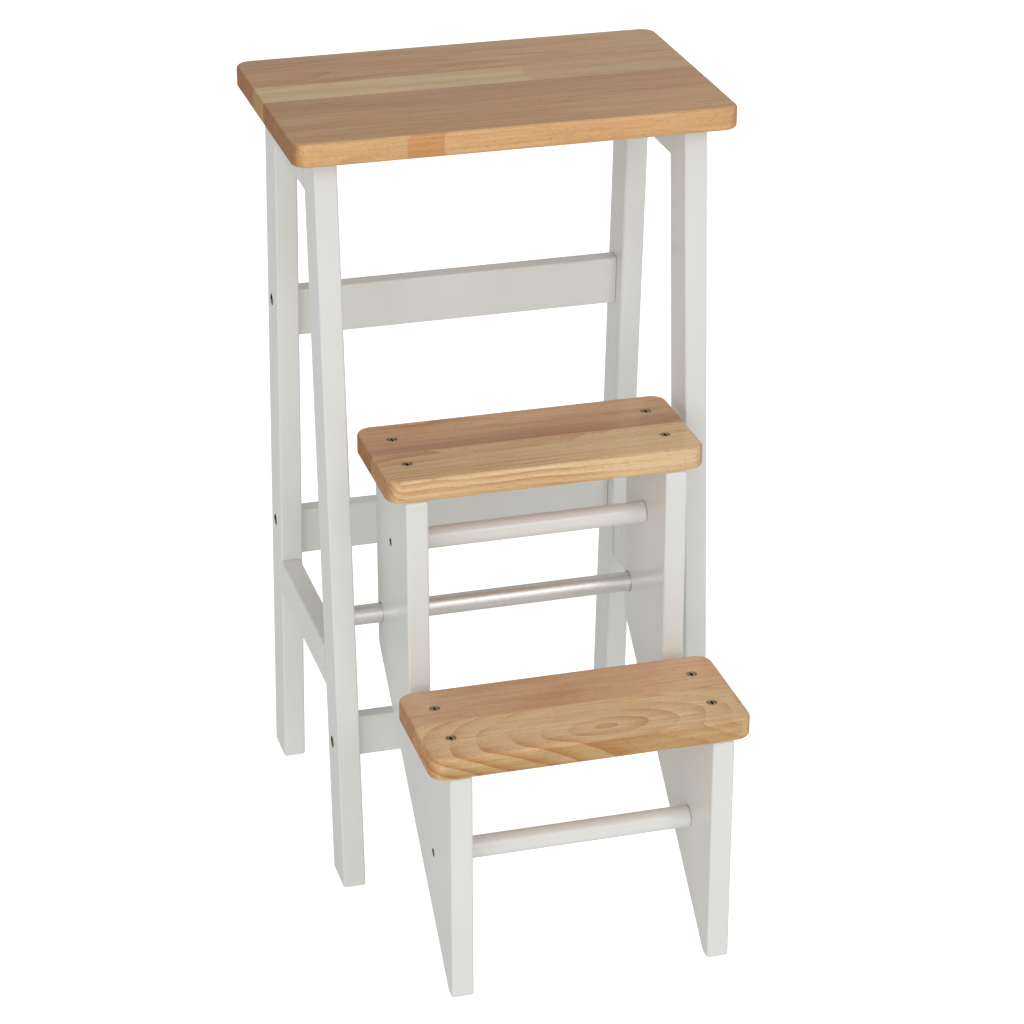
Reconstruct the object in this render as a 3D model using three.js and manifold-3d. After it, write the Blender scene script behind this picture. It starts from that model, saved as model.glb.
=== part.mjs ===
// Folding step stool. A painted, splayed frame carries a wooden seat, and a unit with two
// wooden treads swings out from under the seat on a metal tube.
// Millimetres. X runs across the stool, -Y is its front and +Z is up. Left and right are
// those of someone who stands in front of the stool.

import * as THREE from 'three';
import { mergeVertices, toCreasedNormals } from 'three/addons/utils/BufferGeometryUtils.js';
import Module from 'manifold-3d';

const wasm = await Module();
wasm.setup();

// Driving dimensions

// Fits: the glue line between fitted faces, the room round a fastener, and the run of a
// cutting body past the face that it opens.
const jointGap = 0.3;
const holeGap = 0.3;
const cutOverrun = 4;

// Seat board, and how far it stands out past the legs
const seatTop = 650;
const seatLength = 362;
const seatDepth = 230;
const seatThickness = 19;
const seatCornerRadius = 13;
const seatSideOverhang = 20;
const seatEndOverhang = 23.5;

// Legs, with their depth and spread measured level, from the front to the back
const legWidth = 19;
const legDepth = 38.5;
const footSpread = 274.6;
const footCornerRadius = 3;

// Rounded rims of the bare wood and of the painted wood
const woodRimRadius = 3;
const paintedRimRadius = 2;

// Side rails, which run from the front legs to the rear legs with a tenon at each end
const railThickness = 17;
const upperRailHeight = 37.5;
const middleRailHeight = 35.5;
const middleRailBottom = 168.8;
const tenonThickness = 8;
const tenonShoulder = 8;
const tenonLength = 16;

// Crossbars, which lean with the legs that they join
const barThickness = 15;
const barSetback = 15;
const rearUpperBarHeight = 42.5;
const rearUpperBarMiddle = 436.2;
const rearMiddleBarHeight = 42.5;
const rearMiddleBarMiddle = 224;
const frontLowerBarHeight = 35;
const frontLowerBarMiddle = 130.5;

// Furniture screws at the ends of the crossbars, and the wooden pins beside them
const barScrewHeadDiameter = 9.6;
const barScrewHeadHeight = 4;
const barScrewShankDiameter = 6;
const barScrewLength = 50;
const barScrewTipLength = 5;
const barScrewSink = 1.2;
const barScrewSocketWidth = 4.6;
const barScrewSocketDepth = 2.5;
const rearBarScrewOffset = 11.5;
const frontBarScrewOffset = 5.6;
const pinDiameter = 8;
const pinLength = 30;
const pinDepthInLeg = 12;
const pinChamfer = 1;

// Step unit, and the room between it and each front leg
const unitSideGap = 26;
const sideBoardThickness = 18;
const pivotHeight = 237.5;
const backEdgeBehindPivot = 11.5;
const columnDepth = 104.5;
const lowerStepReach = 129;
const stepFootLength = 12;
const kneeBelowPivot = 31.5;
const sideBoardCornerRadius = 4;
const sideBoardFootRadius = 6;
const sideBoardKneeRadius = 12;

// Treads, and how far they stand out past the side boards
const middleTreadTop = 396.5;
const lowerTreadTop = 219;
const treadDepth = 115;
const treadThickness = 19;
const treadCornerRadius = 13;
const treadOverhang = 1.5;
const treadSideOverhang = 15;

// Round rails between the side boards
const roundRailDiameter = 18;
const upperRoundRailDrop = 77.5;
const upperRoundRailFromBack = 49.5;
const lowerRoundRailHeight = 103.5;
const lowerRoundRailFromFront = 56;

// Pivot tube, whose ends turn in blind bores of the front legs
const tubeDiameter = 16.5;
const tubeWall = 1.5;
const tubeBoreDepth = 12;
const tubeEndPlay = 0.5;

// Wood screws through the treads, into the round rails and up into the seat
const woodScrewHeadDiameter = 8;
const woodScrewRimHeight = 0.5;
const woodScrewConeHeight = 2.2;
const woodScrewShankDiameter = 4;
const woodScrewTipLength = 6;
const crossRecessWidth = 4.4;
const crossRecessSlot = 1;
const crossRecessDepth = 1.6;
const treadScrewLength = 45;
const treadScrewSink = 0.4;
const treadScrewFromFront = 33.5;
const treadScrewSpacing = 50;
const railScrewHeadDiameter = 6.6;
const railScrewLength = 45;
const railScrewSink = 2.5;
const seatScrewLength = 42;
const seatScrewBite = 11;
const seatScrewSpacing = 56;

// How finely round forms are divided
const rimSteps = 2;
const cornerSteps = 3;
const screwSteps = 14;
const rodSteps = 28;
const creaseAngle = Math.PI / 5;

// Derived places

const frameWidth = seatLength - 2 * seatSideOverhang;
const topSpread = seatDepth - 2 * seatEndOverhang;
const legHeight = seatTop - seatThickness - jointGap;
const legSlope = (footSpread - topSpread) / 2 / legHeight;
const legLean = Math.atan(legSlope);
const legInnerX = frameWidth / 2 - legWidth;
const legCentreX = frameWidth / 2 - legWidth / 2;
const railCentreX = frameWidth / 2 - railThickness / 2;

// The front face of a front leg and of a rear leg at a height above the floor
const frontLegFace = (z) => -footSpread / 2 + legSlope * z;
const rearLegFace = (z) => footSpread / 2 - legSlope * z - legDepth;

const stepUnitWidth = 2 * (legInnerX - unitSideGap);
const treadLength = stepUnitWidth + 2 * treadSideOverhang;
const pivotY = frontLegFace(pivotHeight) + legDepth / 2;
const unitBackY = pivotY + backEdgeBehindPivot;
const columnFrontY = unitBackY - columnDepth;
const unitFrontY = columnFrontY - lowerStepReach;
const sideBoardCentreX = (stepUnitWidth - sideBoardThickness) / 2;
const slantTop = pivotHeight - kneeBelowPivot;
const middleLedge = middleTreadTop - treadThickness - jointGap;
const lowerLedge = lowerTreadTop - treadThickness - jointGap;

// Materials

const paint = (name) => new THREE.MeshStandardMaterial({ name, color: 0xe9e9e5, roughness: 0.5 });
const lacqueredWood = (name) => new THREE.MeshStandardMaterial({ name, color: 0xb88a58, roughness: 0.35 });
const bareWood = (name) => new THREE.MeshStandardMaterial({ name, color: 0xd9bb8c, roughness: 0.8 });
const steel = (name) =>
  new THREE.MeshStandardMaterial({ name, color: 0xc4c6c8, roughness: 0.28, metalness: 0.95 });
const darkSteel = (name) =>
  new THREE.MeshStandardMaterial({ name, color: 0x3d3733, roughness: 0.45, metalness: 0.8 });
const yellowZinc = (name) =>
  new THREE.MeshStandardMaterial({ name, color: 0xa98248, roughness: 0.4, metalness: 0.85 });

// Solids: joining and cutting closed geometries

function solid(geometry) {
  const bare = geometry.clone();
  bare.deleteAttribute('normal');
  bare.deleteAttribute('uv');
  const merged = mergeVertices(bare);
  return new wasm.Manifold(new wasm.Mesh({
    numProp: 3,
    vertProperties: merged.attributes.position.array,
    triVerts: new Uint32Array(merged.index.array),
  }));
}

function geometryOf(body) {
  const { vertProperties, triVerts } = body.getMesh();
  const geometry = new THREE.BufferGeometry();
  geometry.setAttribute('position', new THREE.BufferAttribute(vertProperties, 3));
  geometry.setIndex(new THREE.BufferAttribute(triVerts, 1));
  return toCreasedNormals(geometry, creaseAngle);
}

function cut(geometry, cutters) {
  return geometryOf(cutters.reduce((body, cutter) => body.subtract(solid(cutter)), solid(geometry)));
}

function join(geometry, added) {
  return geometryOf(solid(geometry).add(solid(added)));
}

function common(geometry, other) {
  return geometryOf(solid(geometry).intersect(solid(other)));
}

// A named mesh whose own origin is a given point of the stool
function piece(name, geometry, material, x, y, z) {
  const mesh = new THREE.Mesh(geometry.translate(-x, -y, -z), material(name));
  mesh.name = name;
  mesh.position.set(x, y, z);
  return mesh;
}

// A closed outline, counterclockwise, whose corners are [x, y, radius]
function roundedOutline(corners) {
  const shape = new THREE.Shape();
  const points = corners.map(([x, y]) => new THREE.Vector2(x, y));
  corners.forEach(([, , radius], i) => {
    const corner = points[i];
    const toBefore = points.at(i - 1).clone().sub(corner).normalize();
    const toAfter = points[(i + 1) % points.length].clone().sub(corner).normalize();
    const halfAngle = toBefore.angleTo(toAfter) / 2;
    const middle = toBefore.clone().add(toAfter).normalize();
    const centre = corner.clone().addScaledVector(middle, radius / Math.sin(halfAngle));
    const reach = radius / Math.tan(halfAngle);
    const start = corner.clone().addScaledVector(toBefore, reach).sub(centre).angle();
    const end = corner.clone().addScaledVector(toAfter, reach).sub(centre).angle();
    const turnsInward = toBefore.cross(toAfter) > 0;
    shape.absarc(centre.x, centre.y, radius, start, end, turnsInward);
  });
  return shape;
}

function roundedRectangle(length, width, radius) {
  const x = length / 2;
  const y = width / 2;
  return roundedOutline([[-x, -y, radius], [x, -y, radius], [x, y, radius], [-x, y, radius]]);
}

// A board of an outline, centred on its thickness, with both rims rounded
function board(outline, thickness, rimRadius) {
  const geometry = new THREE.ExtrudeGeometry(outline, {
    depth: thickness - 2 * rimRadius,
    bevelThickness: rimRadius,
    bevelSize: rimRadius,
    bevelOffset: -rimRadius,
    bevelSegments: rimSteps,
    curveSegments: cornerSteps,
  });
  return geometry.translate(0, 0, rimRadius - thickness / 2);
}

// A straight bar of a section, centred on its length
function bar(section, length) {
  const options = { depth: length, bevelEnabled: false, curveSegments: cornerSteps };
  return new THREE.ExtrudeGeometry(section, options).translate(0, 0, -length / 2);
}

// Turns what is drawn in side view, as (y, z), so that its thickness runs across the stool
const sideView = new THREE.Matrix4().makeBasis(
  new THREE.Vector3(0, 1, 0),
  new THREE.Vector3(0, 0, 1),
  new THREE.Vector3(1, 0, 0),
);

// A round rod that runs across the stool
function crossRod(diameter, length) {
  return new THREE.CylinderGeometry(diameter / 2, diameter / 2, length, rodSteps).rotateZ(Math.PI / 2);
}

// A closed outline in side view, with straight sides that lean with the legs
function leaningPrism(front, back, bottom, top, thickness) {
  const shape = new THREE.Shape([
    new THREE.Vector2(front(bottom), bottom),
    new THREE.Vector2(back(bottom), bottom),
    new THREE.Vector2(back(top), top),
    new THREE.Vector2(front(top), top),
  ]);
  return bar(shape, thickness).applyMatrix4(sideView);
}

// Screws

const cross = () => [
  new THREE.BoxGeometry(crossRecessWidth, 2 * crossRecessDepth, crossRecessSlot),
  new THREE.BoxGeometry(crossRecessSlot, 2 * crossRecessDepth, crossRecessWidth),
];
const socket = () => {
  const radius = barScrewSocketWidth / Math.sqrt(3);
  return [new THREE.CylinderGeometry(radius, radius, 2 * barScrewSocketDepth, 6)];
};

function woodScrew(headDiameter, length) {
  return {
    headDiameter,
    length,
    rimHeight: woodScrewRimHeight,
    coneHeight: woodScrewConeHeight,
    shankDiameter: woodScrewShankDiameter,
    tipLength: woodScrewTipLength,
    recess: cross,
    material: darkSteel,
  };
}

const treadScrew = woodScrew(woodScrewHeadDiameter, treadScrewLength);
const railScrew = woodScrew(railScrewHeadDiameter, railScrewLength);
const seatScrew = woodScrew(woodScrewHeadDiameter, seatScrewLength);
const barScrew = {
  headDiameter: barScrewHeadDiameter,
  length: barScrewLength,
  rimHeight: barScrewHeadHeight,
  coneHeight: 0,
  shankDiameter: barScrewShankDiameter,
  tipLength: barScrewTipLength,
  recess: socket,
  material: yellowZinc,
};

// The turned form of a screw, head up along Y with its face at the origin, grown by a gap
// all round and carried on above the head by an overrun
function turnedScrew(screw, gap, overrun) {
  const shank = screw.shankDiameter / 2 + gap;
  const head = screw.headDiameter / 2 + gap;
  const underHead = -screw.rimHeight - screw.coneHeight - gap;
  const profile = [
    new THREE.Vector2(0, -screw.length - gap),
    new THREE.Vector2(shank, -screw.length - gap + screw.tipLength),
    new THREE.Vector2(shank, underHead),
    new THREE.Vector2(head, -screw.rimHeight - gap),
    new THREE.Vector2(head, overrun),
    new THREE.Vector2(0, overrun),
  ];
  return new THREE.LatheGeometry(profile, screwSteps);
}

const screwAxis = new THREE.Vector3(0, -1, 0);

// The hole for a screw that is driven from a point in a direction
function screwHole(screw, at, aim) {
  const turn = new THREE.Quaternion().setFromUnitVectors(screwAxis, aim);
  return turnedScrew(screw, holeGap, cutOverrun).applyQuaternion(turn).translate(at.x, at.y, at.z);
}

function screwMesh(name, screw, at, aim) {
  const mesh = new THREE.Mesh(cut(turnedScrew(screw, 0, 0), screw.recess()), screw.material(name));
  mesh.name = name;
  mesh.position.copy(at);
  mesh.quaternion.setFromUnitVectors(screwAxis, aim);
  return mesh;
}

const stool = new THREE.Group();
const frame = new THREE.Group();
const stepUnit = new THREE.Group();
stepUnit.position.set(0, pivotY, pivotHeight);
stool.add(frame, stepUnit);

const sides = [{ name: 'left', x: -1 }, { name: 'right', x: 1 }];
const inward = (side) => new THREE.Vector3(-side.x, 0, 0);
const down = new THREE.Vector3(0, 0, -1);
const up = new THREE.Vector3(0, 0, 1);

// Crossbars: each is a straight bar between two legs, with a furniture screw and a wooden
// pin at each end, set apart along the height of the bar

function crossbar(name, legs, height, middle, screwOffset) {
  const face = legs === 'front' ? frontLegFace : rearLegFace;
  const lean = legs === 'front' ? -legLean : legLean;
  const y = face(middle) + barSetback + barThickness / 2;
  const pointAt = (offset) => [y - offset * Math.sin(lean), middle + offset * Math.cos(lean)];
  return { name, legs, height, lean, y, z: middle, screwAt: pointAt(screwOffset), pinAt: pointAt(-screwOffset) };
}

const crossbars = [
  crossbar('rear_upper', 'rear', rearUpperBarHeight, rearUpperBarMiddle, rearBarScrewOffset),
  crossbar('rear_middle', 'rear', rearMiddleBarHeight, rearMiddleBarMiddle, rearBarScrewOffset),
  crossbar('front_lower', 'front', frontLowerBarHeight, frontLowerBarMiddle, -frontBarScrewOffset),
];

function barScrewHead(crossbarSpec, side) {
  const [y, z] = crossbarSpec.screwAt;
  return new THREE.Vector3(side.x * (frameWidth / 2 - barScrewSink), y, z);
}

function pinCentre(crossbarSpec, side) {
  const [y, z] = crossbarSpec.pinAt;
  return new THREE.Vector3(side.x * (legInnerX + pinDepthInLeg - pinLength / 2), y, z);
}

function pinHole(crossbarSpec, side) {
  const { x, y, z } = pinCentre(crossbarSpec, side);
  return crossRod(pinDiameter + 2 * holeGap, pinLength + 2 * holeGap).translate(x, y, z);
}

function makeCrossbar(spec) {
  const section = roundedRectangle(barThickness, spec.height, paintedRimRadius);
  const blank = bar(section, 2 * (legInnerX - jointGap)).applyMatrix4(sideView);
  blank.rotateX(spec.lean).translate(0, spec.y, spec.z);
  const holes = sides.flatMap((side) => [
    screwHole(barScrew, barScrewHead(spec, side), inward(side)),
    pinHole(spec, side),
  ]);
  return piece(`${spec.name}_crossbar`, cut(blank, holes), paint, 0, spec.y, spec.z);
}

function makePin(spec, side) {
  const radius = pinDiameter / 2;
  const profile = [
    new THREE.Vector2(0, -pinLength / 2),
    new THREE.Vector2(radius - pinChamfer, -pinLength / 2),
    new THREE.Vector2(radius, pinChamfer - pinLength / 2),
    new THREE.Vector2(radius, pinLength / 2 - pinChamfer),
    new THREE.Vector2(radius - pinChamfer, pinLength / 2),
    new THREE.Vector2(0, pinLength / 2),
  ];
  const { x, y, z } = pinCentre(spec, side);
  const geometry = new THREE.LatheGeometry(profile, screwSteps).rotateZ(Math.PI / 2).translate(x, y, z);
  return piece(`${spec.name}_pin_${side.name}`, geometry, bareWood, x, y, z);
}

for (const spec of crossbars) {
  frame.add(makeCrossbar(spec));
  for (const side of sides) {
    const name = `${spec.name}_screw_${side.name}`;
    frame.add(screwMesh(name, barScrew, barScrewHead(spec, side), inward(side)));
    frame.add(makePin(spec, side));
  }
}

// Side rails: eased bars whose ends follow the lean of the legs, with a stub tenon at each
// end that sits in a mortise of the leg

const sideRails = [
  { name: 'upper', bottom: legHeight - upperRailHeight, top: legHeight },
  { name: 'middle', bottom: middleRailBottom, top: middleRailBottom + middleRailHeight },
];

// The tenons of a rail, as one bar right through it; the mortises are the same bar, grown
function tenonBar(rail, growth) {
  const length = tenonLength + growth;
  return leaningPrism(
    (z) => frontLegFace(z) + legDepth - length,
    (z) => rearLegFace(z) + length,
    rail.bottom + tenonShoulder - growth,
    rail.top - tenonShoulder + growth,
    tenonThickness + 2 * growth,
  );
}

function seatScrewHead(side, end) {
  const z = legHeight + jointGap + seatScrewBite - seatScrewLength;
  return new THREE.Vector3(side.x * railCentreX, end.y * seatScrewSpacing / 2, z);
}

const ends = [{ name: 'front', y: -1 }, { name: 'rear', y: 1 }];
const seatScrewHoles = (side) => ends.map((end) => screwHole(seatScrew, seatScrewHead(side, end), up));

function makeSideRail(rail, side) {
  const height = rail.top - rail.bottom;
  const middle = (rail.top + rail.bottom) / 2;
  const blank = bar(roundedRectangle(railThickness, height, paintedRimRadius), footSpread);
  blank.rotateX(Math.PI / 2).translate(0, 0, middle);
  const betweenLegs = leaningPrism(
    (z) => frontLegFace(z) + legDepth + jointGap,
    (z) => rearLegFace(z) - jointGap,
    rail.bottom - cutOverrun,
    rail.top + cutOverrun,
    railThickness + 2 * cutOverrun,
  );
  const body = join(common(blank, betweenLegs), tenonBar(rail, 0));
  body.translate(side.x * railCentreX, 0, 0);
  const drilled = rail.name === 'upper' ? cut(body, seatScrewHoles(side)) : body;
  return piece(`${side.name}_${rail.name}_rail`, drilled, paint, side.x * railCentreX, 0, middle);
}

for (const rail of sideRails) {
  for (const side of sides) frame.add(makeSideRail(rail, side));
}

// Legs: leaning boards, cut level at the foot and under the seat

function legOutline(face) {
  const corner = (y, z) => [y, z, footCornerRadius];
  return roundedOutline([
    corner(face(0), 0),
    corner(face(0) + legDepth, 0),
    corner(face(legHeight) + legDepth, legHeight),
    corner(face(legHeight), legHeight),
  ]);
}

// The blind bore for an end of the pivot tube, open towards the middle of the stool
function tubeBore(side) {
  const length = tubeBoreDepth + cutOverrun;
  const x = side.x * (legInnerX + (tubeBoreDepth - cutOverrun) / 2);
  return crossRod(tubeDiameter + 2 * holeGap, length).translate(x, pivotY, pivotHeight);
}

function makeLeg(end, side) {
  const face = end.name === 'front' ? frontLegFace : rearLegFace;
  const outline = legOutline(face);
  const blank = board(outline, legWidth, paintedRimRadius).applyMatrix4(sideView);
  blank.translate(side.x * legCentreX, 0, 0);
  const joined = crossbars.filter((spec) => spec.legs === end.name);
  const cutters = [
    ...sideRails.map((rail) => tenonBar(rail, holeGap).translate(side.x * railCentreX, 0, 0)),
    ...joined.map((spec) => screwHole(barScrew, barScrewHead(spec, side), inward(side))),
    ...joined.map((spec) => pinHole(spec, side)),
    ...(end.name === 'front' ? [tubeBore(side)] : []),
  ];
  const footY = face(0) + legDepth / 2;
  return piece(`${end.name}_${side.name}_leg`, cut(blank, cutters), paint, side.x * legCentreX, footY, 0);
}

for (const end of ends) {
  for (const side of sides) frame.add(makeLeg(end, side));
}

// Seat: a rounded board that lies on the legs and the upper side rails

function makeSeat() {
  const z = seatTop - seatThickness / 2;
  const outline = roundedRectangle(seatLength, seatDepth, seatCornerRadius);
  const blank = board(outline, seatThickness, woodRimRadius).translate(0, 0, z);
  return piece('seat', cut(blank, sides.flatMap(seatScrewHoles)), lacqueredWood, 0, 0, z);
}

frame.add(makeSeat());
for (const side of sides) {
  for (const end of ends) {
    frame.add(screwMesh(`seat_screw_${end.name}_${side.name}`, seatScrew, seatScrewHead(side, end), up));
  }
}

// Treads: rounded boards, each screwed down on both side boards

const treads = [
  { name: 'middle', top: middleTreadTop, front: columnFrontY - treadOverhang },
  { name: 'lower', top: lowerTreadTop, front: unitFrontY - treadOverhang },
];

function treadScrewHead(tread, side, end) {
  const y = tread.front + treadScrewFromFront + (end.name === 'rear' ? treadScrewSpacing : 0);
  return new THREE.Vector3(side.x * sideBoardCentreX, y, tread.top - treadScrewSink);
}

const treadScrewHoles = (tread, side) =>
  ends.map((end) => screwHole(treadScrew, treadScrewHead(tread, side, end), down));

function makeTread(tread) {
  const y = tread.front + treadDepth / 2;
  const z = tread.top - treadThickness / 2;
  const outline = roundedRectangle(treadLength, treadDepth, treadCornerRadius);
  const blank = board(outline, treadThickness, woodRimRadius).translate(0, y, z);
  const holes = sides.flatMap((side) => treadScrewHoles(tread, side));
  return piece(`${tread.name}_tread`, cut(blank, holes), lacqueredWood, 0, y, z);
}

// Round rails between the side boards, each held by a screw through each board

const roundRails = [
  {
    name: 'upper',
    y: unitBackY - upperRoundRailFromBack,
    z: middleTreadTop - upperRoundRailDrop,
  },
  { name: 'lower', y: unitFrontY + lowerRoundRailFromFront, z: lowerRoundRailHeight },
];

function railScrewHead(rail, side) {
  return new THREE.Vector3(side.x * (stepUnitWidth / 2 - railScrewSink), rail.y, rail.z);
}

const railScrewHole = (rail, side) => screwHole(railScrew, railScrewHead(rail, side), inward(side));

function makeRoundRail(rail) {
  const length = stepUnitWidth - 2 * (sideBoardThickness + jointGap);
  const blank = crossRod(roundRailDiameter, length).translate(0, rail.y, rail.z);
  const holes = sides.map((side) => railScrewHole(rail, side));
  return piece(`${rail.name}_round_rail`, cut(blank, holes), paint, 0, rail.y, rail.z);
}

// Side boards: a column under the middle tread, a lower part that reaches forward under the
// lower tread, and a slanted back edge from the knee behind the pivot down to the foot

function sideBoardOutline() {
  return roundedOutline([
    [unitFrontY, 0, sideBoardCornerRadius],
    [unitFrontY + stepFootLength, 0, sideBoardFootRadius],
    [unitBackY, slantTop, sideBoardKneeRadius],
    [unitBackY, middleLedge, sideBoardCornerRadius],
    [columnFrontY, middleLedge, sideBoardCornerRadius],
    [columnFrontY, lowerLedge, sideBoardCornerRadius],
    [unitFrontY, lowerLedge, sideBoardCornerRadius],
  ]);
}

function makeSideBoard(side) {
  const x = side.x * sideBoardCentreX;
  const blank = board(sideBoardOutline(), sideBoardThickness, paintedRimRadius).applyMatrix4(sideView);
  blank.translate(x, 0, 0);
  const tubeLength = sideBoardThickness + 2 * cutOverrun;
  const cutters = [
    crossRod(tubeDiameter + 2 * holeGap, tubeLength).translate(x, pivotY, pivotHeight),
    ...roundRails.map((rail) => railScrewHole(rail, side)),
    ...treads.flatMap((tread) => treadScrewHoles(tread, side)),
  ];
  return piece(`${side.name}_side_board`, cut(blank, cutters), paint, x, pivotY, pivotHeight);
}

// Pivot tube: held by the side boards, and turning in the front legs

function makePivotTube() {
  const half = legInnerX + tubeBoreDepth - tubeEndPlay;
  const outer = tubeDiameter / 2;
  const inner = outer - tubeWall;
  const profile = [
    new THREE.Vector2(inner, -half),
    new THREE.Vector2(outer, -half),
    new THREE.Vector2(outer, half),
    new THREE.Vector2(inner, half),
    new THREE.Vector2(inner, -half),
  ];
  const geometry = new THREE.LatheGeometry(profile, rodSteps).rotateZ(Math.PI / 2);
  return piece('pivot_tube', geometry.translate(0, pivotY, pivotHeight), steel, 0, pivotY, pivotHeight);
}

stepUnit.attach(makePivotTube());
for (const side of sides) stepUnit.attach(makeSideBoard(side));
for (const tread of treads) {
  stepUnit.attach(makeTread(tread));
  for (const side of sides) {
    for (const end of ends) {
      const name = `${tread.name}_tread_screw_${end.name}_${side.name}`;
      stepUnit.attach(screwMesh(name, treadScrew, treadScrewHead(tread, side, end), down));
    }
  }
}
for (const rail of roundRails) {
  stepUnit.attach(makeRoundRail(rail));
  for (const side of sides) {
    const name = `${rail.name}_round_rail_screw_${side.name}`;
    stepUnit.attach(screwMesh(name, railScrew, railScrewHead(rail, side), inward(side)));
  }
}

// The origin lies on the floor, under the middle of the stool's overall length and depth
const frontmost = unitFrontY - treadOverhang;
const rearmost = footSpread / 2;
stool.position.y = -(frontmost + rearmost) / 2;

export default stool;
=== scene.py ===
"""The look of a folding step stool: a white-painted frame, a lacquered wooden seat, and a
unit of two treads that swings on a steel tube. Metres, with +Z up and the front towards -Y."""

import math

import bpy
import numpy as np
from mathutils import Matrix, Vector


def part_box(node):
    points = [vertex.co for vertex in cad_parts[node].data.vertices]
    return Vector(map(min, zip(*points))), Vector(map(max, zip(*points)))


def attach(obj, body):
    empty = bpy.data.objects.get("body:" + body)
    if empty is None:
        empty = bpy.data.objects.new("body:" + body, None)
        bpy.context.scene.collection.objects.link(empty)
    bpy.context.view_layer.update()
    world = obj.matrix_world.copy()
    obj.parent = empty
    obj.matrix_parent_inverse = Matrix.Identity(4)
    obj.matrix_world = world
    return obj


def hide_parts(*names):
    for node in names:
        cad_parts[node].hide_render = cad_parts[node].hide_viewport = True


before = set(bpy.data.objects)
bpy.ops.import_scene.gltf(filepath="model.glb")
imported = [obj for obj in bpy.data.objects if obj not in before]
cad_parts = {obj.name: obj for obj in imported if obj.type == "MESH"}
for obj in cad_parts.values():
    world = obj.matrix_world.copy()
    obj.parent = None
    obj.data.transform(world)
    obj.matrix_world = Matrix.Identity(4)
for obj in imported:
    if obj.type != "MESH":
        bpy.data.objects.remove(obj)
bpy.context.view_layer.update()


# Camera
# A long lens, held well above the seat and a little to the left of the middle, so that the
# front of the frame, its left side and the tops of all three boards are in view.

camera_place = Vector((-0.6611, -2.3236, 1.4341))
camera_target = Vector((0.0249, 0.0935, 0.2656))
camera_lens_mm = 113.4
camera_sensor_mm = 36.0

camera_data = bpy.data.cameras.new("camera")
camera_data.lens = camera_lens_mm
camera_data.sensor_width = camera_sensor_mm
camera = bpy.data.objects.new("camera", camera_data)
camera.location = camera_place
camera.rotation_euler = (camera_target - camera_place).to_track_quat("-Z", "Y").to_euler()
bpy.context.scene.collection.objects.link(camera)
bpy.context.scene.camera = camera


# Floor, backdrop and light
# A white studio floor that runs on past the view, four very large soft lamps, the strongest
# in front and to the left, a small one that draws a line of light on rods and rims, and an
# even surround. The eye sees floor and surround as white.

white = (1.0, 1.0, 1.0, 1.0)
floor_reach = 9.0
floor_drop = 0.0002
floor_colour = (0.82, 0.82, 0.82, 1.0)
floor_glow = 0.80
floor_glow_in_gloss = 0.10
floor_glow_for_light = 0.18
surround_strength = 0.38
surround_strength_seen = 1.0
lamp_target = Vector((0.0, -0.05, 0.35))
lamps = {
    "front_lamp": {"place": Vector((-4.2, -12.75, 3.30)), "size": 9.2, "power": 530.0},
    "left_lamp": {"place": Vector((-12.4, -6.75, 3.90)), "size": 9.2, "power": 255.0},
    "right_lamp": {"place": Vector((4.8, -11.15, 6.00)), "size": 7.0, "power": 150.0},
    "top_lamp": {"place": Vector((0.4, -0.2, 3.4)), "size": 4.0, "power": 26.0},
    "line_lamp": {"place": Vector((1.6, -4.9, 4.4)), "size": 1.3, "power": 28.0},
}


def node(tree, kind, inputs=None, **settings):
    """Adds a shader node. Its inputs, by name or place, are values or other nodes' outputs."""
    made = tree.nodes.new("ShaderNode" + kind)
    for key, value in settings.items():
        setattr(made, key, value)
    for key, value in (inputs or {}).items():
        if isinstance(value, bpy.types.NodeSocket):
            tree.links.new(value, made.inputs[key])
        else:
            made.inputs[key].default_value = value
    return made


def maths(tree, operation, first, second=0.0, third=0.0, clamp=False):
    """The result of a Math node on up to three numbers."""
    inputs = {0: first, 1: second, 2: third}
    return node(tree, "Math", inputs, operation=operation, use_clamp=clamp).outputs[0]


def seen_strength(tree, for_eye, for_gloss, for_light):
    """One strength for rays from the eye and through glass, one for gloss, one for the rest."""
    path = node(tree, "LightPath").outputs
    direct = maths(tree, "MAXIMUM", path["Is Camera Ray"], path["Is Transmission Ray"])
    gloss = maths(tree, "MULTIPLY_ADD", path["Is Glossy Ray"], for_gloss - for_light, for_light)
    rest = maths(tree, "SUBTRACT", for_eye, gloss)
    return maths(tree, "MULTIPLY_ADD", direct, rest, gloss)


def empty_material(name):
    """A node material with nothing in it but its output."""
    material = bpy.data.materials.new(name)
    material.use_nodes = True
    material.node_tree.nodes.clear()
    output = material.node_tree.nodes.new("ShaderNodeOutputMaterial")
    return material, material.node_tree, output


world = bpy.data.worlds.new("surround")
world.use_nodes = True
surround = world.node_tree
surround.nodes.clear()
strength = seen_strength(surround, surround_strength_seen, surround_strength, surround_strength)
backdrop = node(surround, "Background", {"Color": white, "Strength": strength})
node(surround, "OutputWorld", {"Surface": backdrop.outputs[0]})
bpy.context.scene.world = world

floor_material, tree, output = empty_material("studio_floor")
matt = node(tree, "BsdfDiffuse", {"Color": floor_colour})
glow_strength = seen_strength(tree, floor_glow, floor_glow_in_gloss, floor_glow_for_light)
glow = node(tree, "Emission", {"Color": white, "Strength": glow_strength})
both = node(tree, "AddShader", {0: matt.outputs[0], 1: glow.outputs[0]})
tree.links.new(both.outputs[0], output.inputs["Surface"])

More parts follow.
